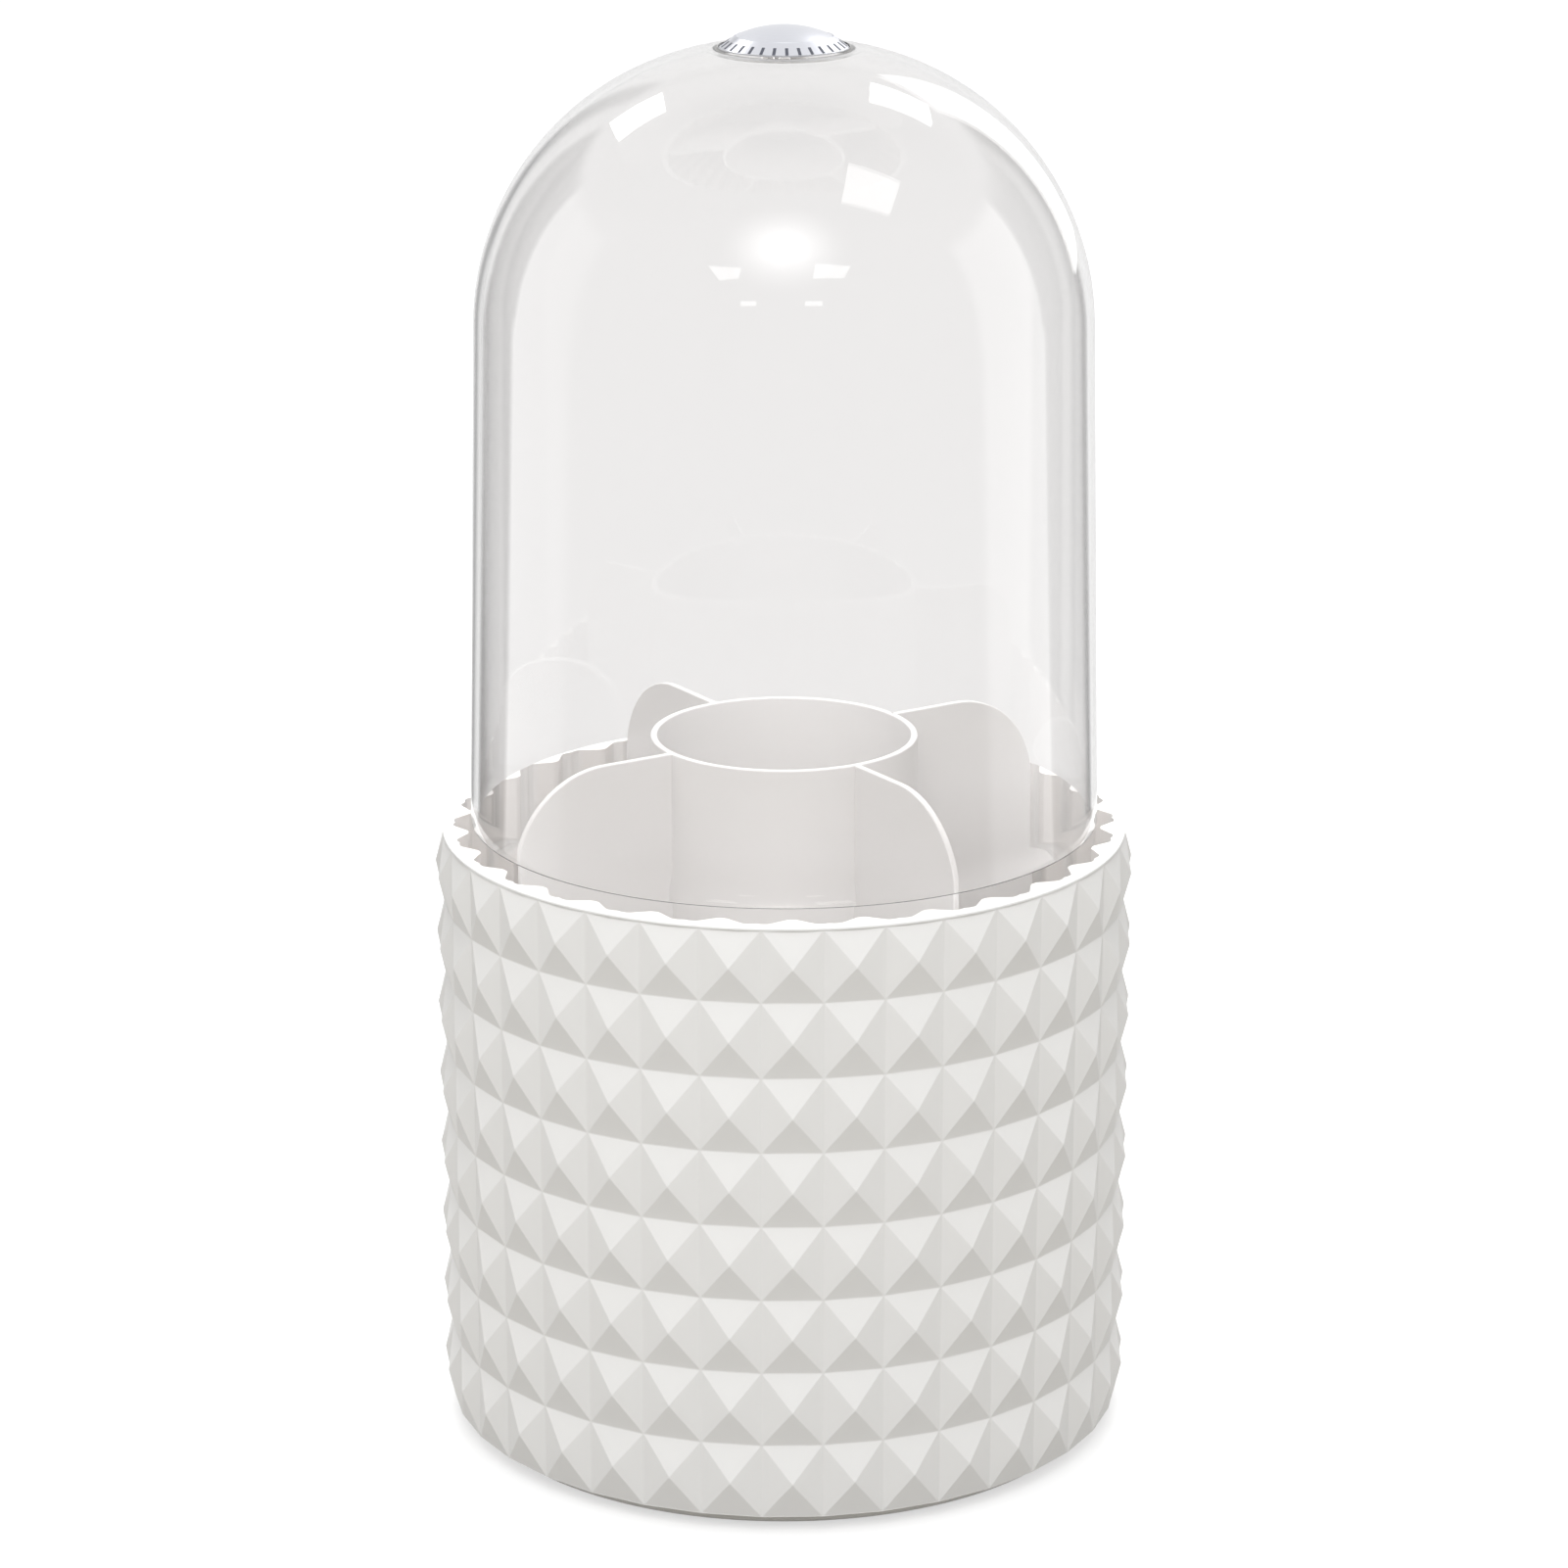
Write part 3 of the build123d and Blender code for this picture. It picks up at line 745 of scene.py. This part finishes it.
def axis_distance(tree):
    """How far a place lies from the axis."""
    return vector_node(tree, "LENGTH", vector_node(tree, "MULTIPLY", own_place(tree), (1, 1, 0)))


def noise_node(tree, place, scale, detail):
    """A noise over a place, as a value from 0 to 1."""
    return add_node(tree, "TexNoise", {"Vector": place, "Scale": scale, "Detail": detail}).outputs["Fac"]


def tinted(tree, colour, level):
    """A colour socket made lighter or darker by a level."""
    return add_node(tree, "VectorMath", {0: colour, "Scale": level}, operation="SCALE").outputs["Vector"]


def vary_finish(group, entry, leave, colour_noise, gloss_noise):
    """Lets one noise change the colour and one the gloss, each by the group's own spread."""
    drift = math_node(group, "SUBTRACT", colour_noise, 0.5)
    drift = math_node(group, "MULTIPLY", drift, entry.outputs["Drift"])
    level = math_node(group, "ADD", drift, 1.0)
    group.links.new(tinted(group, entry.outputs["Colour"], level), leave.inputs["Colour"])
    gloss = math_node(group, "SUBTRACT", gloss_noise, 0.5)
    gloss = math_node(group, "MULTIPLY", gloss, entry.outputs["Gloss spread"])
    group.links.new(math_node(group, "ADD", entry.outputs["Roughness"], gloss), leave.inputs["Roughness"])


def mould_group():
    """Moulded plastic: faint clouds of colour, uneven gloss and a very fine skin."""
    name = "Moulded skin"
    if name in bpy.data.node_groups:
        return bpy.data.node_groups[name]
    scales = [("Cloud scale", "NodeSocketFloat", 60), ("Grain scale", "NodeSocketFloat", 2500)]
    group, entry, leave = new_group(name, FINISH_INPUTS + scales, FINISH_OUTPUTS)
    place = own_place(group)
    cloud = noise_node(group, place, entry.outputs["Cloud scale"], 3)
    grain = noise_node(group, place, entry.outputs["Grain scale"], 2)
    vary_finish(group, entry, leave, cloud, cloud)
    soft = math_node(group, "MULTIPLY", cloud, 4.0)
    group.links.new(math_node(group, "ADD", grain, soft), leave.inputs["Height"])
    return group


def brushed_group():
    """Turned metal: fine rings about the axis that change colour and height, and clouds of gloss."""
    name = "Turned rings"
    if name in bpy.data.node_groups:
        return bpy.data.node_groups[name]
    scales = [("Ring scale", "NodeSocketFloat", 4000), ("Cloud scale", "NodeSocketFloat", 150)]
    group, entry, leave = new_group(name, FINISH_INPUTS + scales, FINISH_OUTPUTS)
    along = add_node(group, "CombineXYZ", {"X": axis_distance(group)}).outputs[0]
    rings = noise_node(group, along, entry.outputs["Ring scale"], 2)
    cloud = noise_node(group, own_place(group), entry.outputs["Cloud scale"], 2)
    vary_finish(group, entry, leave, rings, cloud)
    group.links.new(rings, leave.inputs["Height"])
    return group


# Materials
def bare_material(name):
    """A material with nothing but its output, and what its surface is fed through."""
    material = bpy.data.materials.new(name)
    material.use_nodes = True
    tree = material.node_tree
    tree.nodes.clear()
    return material, tree, tree.nodes.new("ShaderNodeOutputMaterial").inputs["Surface"]


def dressed_material(name, group, bump, values):
    """A material whose Principled shader is fed from a finish group placed with its own values."""
    material, tree, surface = bare_material(name)
    finish = add_node(tree, "Group", values, node_tree=group).outputs
    relief = {"Strength": 1.0, "Distance": bump, "Height": finish["Height"]}
    normal = add_node(tree, "Bump", relief).outputs["Normal"]
    looks = {"Base Color": finish["Colour"], "Roughness": finish["Roughness"], "Normal": normal}
    shader = add_node(tree, "BsdfPrincipled", looks)
    tree.links.new(shader.outputs["BSDF"], surface)
    return material, shader


def moulded_plastic(name, colour, roughness, drift=0.02, bump=0.004 * MM):
    """White or dark moulded plastic with a satin skin."""
    values = {"Colour": (*colour, 1), "Drift": drift, "Roughness": roughness, "Gloss spread": 0.12}
    material, shader = dressed_material(name, mould_group(), bump, values)
    shader.inputs["IOR"].default_value = PLASTIC_IOR
    return material


def typed_socket(sockets, name, kind):
    """The socket of this name and kind, because a Mix node has several of one name."""
    return next(item for item in sockets if item.name == name and item.type == kind)


def paint_warm_bounce(material, radius, painted_warmth):
    """Paints warm bounce light into the colour of what lies nearer to the axis than a radius, as light warms
    between a cup's own walls.
    """
    tree = material.node_tree
    outside = ramp_up(tree, axis_distance(tree), radius - 2 * MM, radius)
    inside = math_node(tree, "SUBTRACT", 1.0, outside)
    # The painted warm bounce: the base colour is multiplied by the warm tint inside the radius
    tint = add_node(tree, "Mix", {"Factor": inside}, data_type="RGBA", blend_type="MULTIPLY")
    shader = next(node for node in tree.nodes if node.bl_idname == "ShaderNodeBsdfPrincipled")
    base = shader.inputs["Base Color"]
    feed(tree, typed_socket(tint.inputs, "A", "RGBA"), base.links[0].from_socket)
    feed(tree, typed_socket(tint.inputs, "B", "RGBA"), (*painted_warmth, 1))
    tree.links.new(typed_socket(tint.outputs, "Result", "RGBA"), base)


def turned_metal(name, colour, roughness, bump=0.003 * MM):
    """Metal with fine rings about the axis."""
    values = {"Colour": (*colour, 1), "Drift": 0.12, "Roughness": roughness, "Gloss spread": 0.08}
    material, shader = dressed_material(name, brushed_group(), bump, values)
    shader.inputs["Metallic"].default_value = 1.0
    return material


def clear_plastic(name, colour, bump=0.003 * MM):
    """Clear acrylic, faintly wavy, that bends what is behind it and lets lamps light what is inside."""
    values = {"Colour": (*colour, 1), "Drift": 0.012, "Roughness": 0.006, "Gloss spread": 0.02}
    values.update({"Cloud scale": 18, "Grain scale": 90})
    material, shader = dressed_material(name, mould_group(), bump, values)
    shader.inputs["IOR"].default_value = ACRYLIC_IOR
    shader.inputs["Transmission Weight"].default_value = 1.0
    tree = material.node_tree
    path = ray_path(tree)
    look = shader.outputs["BSDF"]
    surface = look.links[0].to_socket
    for ray in ("Is Shadow Ray", "Is Diffuse Ray"):
        through = coloured(tree, "Transparent", [math.sqrt(share) for share in colour])
        look = mix_shaders(tree, path[ray], look, through)
    tree.links.new(look, surface)
    return material


class HOLDER_OT_foot(Operator):
    """Gives the foot, the bearing and the pivot their finishes"""

    bl_idname = "holder.foot"
    bl_label = "Foot and bearing"

    def execute(self, context):
        """Puts a material on each node of the frame that stays."""
        finish = context.scene.brush_holder.finish
        white = moulded_plastic("foot_white", finish.foot_colour, 0.45)
        insert = moulded_plastic("cap_white", finish.insert_colour, 0.35)
        rubber = moulded_plastic("pad_grey", finish.rubber_colour, 0.8, 0.1, 0.03 * MM)
        cage = moulded_plastic("cage_natural", finish.cage_colour, 0.5, 0.04)
        foam = moulded_plastic("foam_white", finish.foam_colour, 0.9, 0.05, 0.05 * MM)
        steel = turned_metal("race_steel", finish.steel_colour, 0.35)
        plated = turned_metal("plated_steel", finish.steel_colour, 0.28)
        polished = turned_metal("ball_steel", finish.steel_colour, 0.08, 0.0005 * MM)
        coats = {
            white: ["foot_plate"],
            insert: ["bolt_cap"],
            rubber: ["grip_pads"],
            cage: ["ball_cage", "pivot_bush"],
            foam: ["badge_adhesive"],
            steel: ["lower_race", "upper_race"],
            plated: ["lower_race_screws", "upper_race_screws", "centre_bolt", "pivot_washer", "pivot_nut"],
            polished: ["bearing_balls"],
        }
        for coat, nodes in coats.items():
            for node in nodes:
                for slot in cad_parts[node].material_slots:
                    slot.material = coat
        return {"FINISHED"}


# The studio as the gloss and the clear lid see it. Azimuths are counted from the camera and grow to the right
SIDE_LEVELS = [
    # azimuth, brightness
    (-180, 1.0), (-163, 1.0), (-160, 0.5), (-155, 0.5), (-152, 0.9), (-145, 0.9), (-143, 0.2),
    (-117.5, 0.25), (-116, 1.8), (-86, 1.6), (-81, 1.0), (74, 1.0), (78, 2.2), (108.5, 2.4),
    (110, 0.8), (138, 0.6), (141, 0.3), (146, 0.3), (148, 1.0), (180, 1.0),
]
# A colour ramp holds no more than 1, so levels go in as shares of this
BRIGHTEST_SIDE = 2.5
CEILING_START = math.radians(28)
CEILING_END = math.radians(34)
CARD_DISTANCE = 1.5
CARD_AIM = Vector((0, 0, 0.235))
CARDS = [
    # name, brightness, corners as azimuth and elevation
    ("left_window", 5.0, [(-142.3, 32.9), (-154.6, 38.5), (-144, 47.7), (-129.3, 40.5)]),
    ("right_window", 5.0, [(161.9, 41.5), (148.4, 37.5), (135.6, 43.4), (152.2, 52.4)]),
    ("low_window", 3.2, [(73.8, 70.8), (81.9, 55.1), (58.2, 48.5), (38, 59.4)]),
    ("left_panel", 3.2, [(-32.3, 33.7), (-18.1, 34.6), (-18.5, 30.5), (-26.3, 28.9)]),
    ("right_panel", 3.2, [(13.7, 36.5), (28.6, 34.2), (24.5, 29.9), (11.8, 30.9)]),
    ("left_bar", 3.2, [(-16.6, 21.7), (-10.6, 22.1), (-10.5, 20.2), (-16.4, 19.9)]),
    ("right_bar", 3.2, [(8, 22.2), (14.7, 21.9), (14.5, 20), (7.9, 20.3)]),
    ("right_streak", 2.2, [(140, -3), (156, -3), (165, 34), (147, 36)]),
]
GLOW_ELEVATION = 43.5
GLOW_DISTANCE = 0.94 * CARD_DISTANCE
GLOW_RADIUS = 0.5
GLOW_STRETCH = 1.27
GLOW_LEVEL = 5.5
LAMP_AIM = Vector((0, 0, 0.12))
LAMP_DISTANCE = 1.5
LAMP_SIZE = 0.9
LAMPS = [
    # name, azimuth, elevation, brightness
    ("front_soft", 0, 45, 4.04),
    ("high_soft", 0, 70, 0.45),
    ("left_soft", -65, 45, 0.67),
    ("back_soft", 180, 50, 7.5),
]


def from_camera(azimuth, elevation, camera_azimuth):
    """A direction given as seen from the camera, in the holder's frame."""
    turn = math.radians(azimuth)
    rise = math.radians(elevation)
    level = Vector((math.sin(turn), -math.cos(turn), 0)) * math.cos(rise)
    return Matrix.Rotation(-camera_azimuth, 3, "Z") @ (level + Vector((0, 0, math.sin(rise))))


def turn_node(tree, vector, angle, centre=(0, 0, 0)):
    """A place or direction turned about an upright line."""
    feeds = {"Vector": vector, "Center": centre, "Angle": angle}
    return add_node(tree, "VectorRotate", feeds, rotation_type="Z_AXIS").outputs[0]


def make_sides(stage):
    """Makes the group that gives the sides' brightness by the azimuth of a direction or a place."""
    group, entry, leave = new_group(
        "Studio sides", [("Vector", "NodeSocketVector", (0, 0, 0))], [("Level", "NodeSocketFloat")]
    )
    facing = turn_node(group, entry.outputs["Vector"], stage.camera_azimuth)
    split = add_node(group, "SeparateXYZ", {0: facing})
    ahead = math_node(group, "MULTIPLY", split.outputs["Y"], -1.0)
    azimuth = math_node(group, "ARCTAN2", split.outputs["X"], ahead)
    share = math_node(group, "ADD", math_node(group, "DIVIDE", azimuth, FULL_TURN), 0.5)
    ramp = group.nodes.new("ShaderNodeValToRGB")
    stops = ramp.color_ramp.elements
    for stop, (degrees, level) in enumerate(SIDE_LEVELS):
        place = degrees / 360 + 0.5
        element = stops[stop] if stop < 2 else stops.new(place)
        element.position = place
        element.color = (level / BRIGHTEST_SIDE,) * 3 + (1,)
    group.links.new(share, ramp.inputs["Fac"])
    level = math_node(group, "MULTIPLY", ramp.outputs["Color"], BRIGHTEST_SIDE)
    group.links.new(level, leave.inputs["Level"])


def mix_values(tree, factor, first, second):
    """A blend between two numbers or sockets."""
    blend = add_node(tree, "Mix", {}, data_type="FLOAT")
    for label, value in (("Factor", factor), ("A", first), ("B", second)):
        feed(tree, typed_socket(blend.inputs, label, "VALUE"), value)
    return typed_socket(blend.outputs, "Result", "VALUE")


def side_level(tree, place):
    """The studio's sides towards a place. Their bright strips show as reflections, not through the lid."""
    sides = bpy.data.node_groups["Studio sides"]
    level = add_node(tree, "Group", {"Vector": place}, node_tree=sides).outputs["Level"]
    dimmed = math_node(tree, "MINIMUM", level, 1.0)
    return mix_values(tree, ray_path(tree)["Is Transmission Ray"], level, dimmed)


def ramp_up(tree, value, start, end):
    """0 below the start, 1 over the end, smooth between."""
    feeds = {"Value": value, "From Min": start, "From Max": end}
    return add_node(tree, "MapRange", feeds, interpolation_type="SMOOTHSTEP").outputs["Result"]


def ray_path(tree):
    """What a ray is, by the outputs of a Light Path node."""
    return add_node(tree, "LightPath", {}).outputs


def visible_rays(tree):
    """1 where the camera looks, straight or by way of gloss and glass."""
    path = ray_path(tree)
    seen = math_node(tree, "MAXIMUM", path["Is Camera Ray"], path["Is Glossy Ray"])
    return math_node(tree, "MAXIMUM", seen, path["Is Transmission Ray"])


def emission(tree, level):
    """White light of a brightness that is a number or a socket."""
    return add_node(tree, "Emission", {"Strength": level}).outputs[0]


def coloured(tree, kind, colour=(1, 1, 1)):
    """A Diffuse or Transparent surface of one colour."""
    return add_node(tree, "Bsdf" + kind, {"Color": (*colour, 1)}).outputs[0]


def mix_shaders(tree, factor, first, second):
    """A blend of two surfaces."""
    return add_node(tree, "MixShader", {0: factor, 1: first, 2: second}).outputs[0]


def add_shaders(tree, first, second):
    """The sum of two surfaces."""
    return add_node(tree, "AddShader", {0: first, 1: second}).outputs[0]


def floor_material(stage):
    """A white floor with the shadow, warm from its bounce, mirrored as the sides and clear from below."""
    material, tree, surface = bare_material("pale_floor")
    place = own_place(tree)
    reach = vector_node(tree, "LENGTH", place)
    far = ramp_up(tree, reach, stage.sides_start, stage.sides_start + stage.sides_blend)
    mirrored = emission(tree, mix_values(tree, far, stage.near_level, side_level(tree, place)))
    lit = coloured(tree, "Diffuse", (stage.floor_tone,) * 3)
    shown = add_shaders(tree, lit, emission(tree, stage.floor_lift))
    seen = mix_shaders(tree, ray_path(tree)["Is Camera Ray"], mirrored, shown)
    above = mix_shaders(tree, visible_rays(tree), coloured(tree, "Diffuse", stage.floor_bounce), seen)
    below = add_node(tree, "NewGeometry", {}).outputs["Backfacing"]
    tree.links.new(mix_shaders(tree, below, above, coloured(tree, "Transparent")), surface)
    return material


def add_bright_mesh(name, bm, material):
    """A mesh of the stage that only gloss and glass see."""
    thing = mesh_object(name, bm, material)
    thing.visible_camera = False
    thing.visible_diffuse = False
    thing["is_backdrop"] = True


def add_floor(stage):
    """A round floor under the holder."""
    bm = bmesh.new()
    bmesh.ops.create_circle(bm, cap_ends=True, segments=96, radius=stage.floor_radius)
    mesh_object("floor", bm, floor_material(stage))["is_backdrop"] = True


def add_world(stage):
    """Even light for rough surfaces, and the studio's sides and ceiling for gloss and glass."""
    world = bpy.data.worlds.new("studio")
    world.use_nodes = True
    tree = world.node_tree
    direction = add_node(tree, "TexCoord", {}).outputs["Generated"]
    rise = add_node(tree, "SeparateXYZ", {0: direction}).outputs["Z"]
    ceiling = ramp_up(tree, rise, math.sin(CEILING_START), math.sin(CEILING_END))
    shown = mix_values(tree, ceiling, side_level(tree, direction), 1.0)
    shown = mix_values(tree, ray_path(tree)["Is Camera Ray"], shown, 1.0)
    level = mix_values(tree, visible_rays(tree), stage.world_level, shown)
    tree.links.new(level, tree.nodes["Background"].inputs["Strength"])
    tree.nodes["Background"].inputs["Color"].default_value = (1, 1, 1, 1)
    bpy.context.scene.world = world


def add_card(stage, name, level, corners):
    """A bright window that only gloss and glass see."""
    bm = bmesh.new()
    verts = [
        bm.verts.new(CARD_AIM + from_camera(azimuth, elevation, stage.camera_azimuth) * CARD_DISTANCE)
        for azimuth, elevation in corners
    ]
    bm.faces.new(verts)
    material, tree, surface = bare_material(name)
    tree.links.new(emission(tree, level), surface)
    add_bright_mesh(name, bm, material)


def add_glow(stage):
    """A round glow that fades outwards, seen by gloss and glass only."""
    direction = from_camera(0, GLOW_ELEVATION, stage.camera_azimuth)
    facing = direction.to_track_quat("Z", "Y").to_matrix().to_4x4()
    centre = CARD_AIM + direction * GLOW_DISTANCE
    wide = Matrix.Diagonal((GLOW_STRETCH, 1, 1, 1))
    bm = bmesh.new()
    bmesh.ops.create_circle(
        bm, cap_ends=True, segments=48, radius=GLOW_RADIUS, matrix=Matrix.Translation(centre) @ facing @ wide
    )
    material, tree, surface = bare_material("front_glow")
    facing_place = turn_node(tree, own_place(tree), stage.camera_azimuth, centre)
    offset = vector_node(tree, "SUBTRACT", facing_place, centre)
    away = vector_node(tree, "LENGTH", vector_node(tree, "MULTIPLY", offset, (1 / GLOW_STRETCH, 1, 1)))
    fade = math_node(tree, "SUBTRACT", 1.0, math_node(tree, "DIVIDE", away, GLOW_RADIUS))
    fade = math_node(tree, "POWER", math_node(tree, "MAXIMUM", fade, 0.0), 2.0)
    glow = emission(tree, math_node(tree, "MULTIPLY", fade, GLOW_LEVEL))
    tree.links.new(add_shaders(tree, glow, coloured(tree, "Transparent")), surface)
    add_bright_mesh("front_glow", bm, material)


def add_lamp(stage, name, azimuth, elevation, level):
    """A square soft lamp that faces the holder and lights only what is rough."""
    data = bpy.data.lights.new(name, "AREA")
    data.size = LAMP_SIZE
    data.energy = level * math.pi * LAMP_SIZE**2
    lamp = add_object(name, data)
    direction = from_camera(azimuth, elevation, stage.camera_azimuth)
    lamp.location = LAMP_AIM + direction * LAMP_DISTANCE
    lamp.rotation_euler = (-direction).to_track_quat("-Z", "Y").to_euler()
    lamp.visible_camera = False
    lamp.visible_glossy = False
    lamp.visible_transmission = False


def add_camera(stage):
    """The camera at the photograph's angle."""
    data = bpy.data.cameras.new("camera")
    data.lens = stage.camera_lens
    data.sensor_width = 36
    data.clip_start = 0.01
    camera = add_object("camera", data)
    away = stage.camera_azimuth
    camera.location = (
        -stage.camera_distance * math.sin(away),
        -stage.camera_distance * math.cos(away),
        stage.camera_height,
    )
    camera.rotation_euler = (math.pi / 2 - stage.camera_pitch, 0, -away)
    bpy.context.scene.camera = camera


class HOLDER_OT_stage(Operator):
    """Builds the floor, the lamps, the world and the camera"""

    bl_idname = "holder.stage"
    bl_label = "Stage"

    def execute(self, context):
        """Sets the stage around the holder."""
        stage = context.scene.brush_holder.stage
        make_sides(stage)
        add_floor(stage)
        add_world(stage)
        add_glow(stage)
        for card in CARDS:
            add_card(stage, *card)
        for lamp in LAMPS:
            add_lamp(stage, *lamp)
        add_camera(stage)
        context.scene.view_settings.view_transform = "Standard"
        return {"FINISHED"}


class HOLDER_PT_panel(Panel):
    """Lists the operators of the brush holder"""

    bl_idname = "HOLDER_PT_panel"
    bl_label = "Brush holder"
    bl_space_type = "VIEW_3D"
    bl_region_type = "UI"
    bl_category = "Holder"

    def draw(self, context):
        """Draws one button for each operator."""
        for operator in OPERATORS:
            self.layout.operator(operator.bl_idname)


OPERATORS = (
    HOLDER_OT_cup, HOLDER_OT_divider, HOLDER_OT_lid, HOLDER_OT_badge, HOLDER_OT_foot, HOLDER_OT_stage
)
SETTINGS = (
    CupSettings, DividerSettings, LidSettings, BadgeSettings, FinishSettings, StageSettings, HolderSettings
)


def register():
    """Registers the settings, the operators and the panel."""
    for item in SETTINGS + OPERATORS + (HOLDER_PT_panel,):
        bpy.utils.register_class(item)
    bpy.types.Scene.brush_holder = PointerProperty(type=HolderSettings)


def unregister():
    """Takes the panel, the operators and the settings out again."""
    del bpy.types.Scene.brush_holder
    for item in reversed(SETTINGS + OPERATORS + (HOLDER_PT_panel,)):
        bpy.utils.unregister_class(item)


def corners():
    """Lowest and highest corner of what shows, as plain lists."""
    return [list(corner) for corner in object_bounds()]


def main():
    """Builds the holder and its stage."""
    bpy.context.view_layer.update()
    register()
    bpy.ops.holder.cup()
    bpy.ops.holder.divider()
    bpy.ops.holder.lid()
    bpy.ops.holder.badge()
    bpy.ops.holder.foot()
    bpy.ops.holder.stage()


if __name__ == "__main__":
    main()
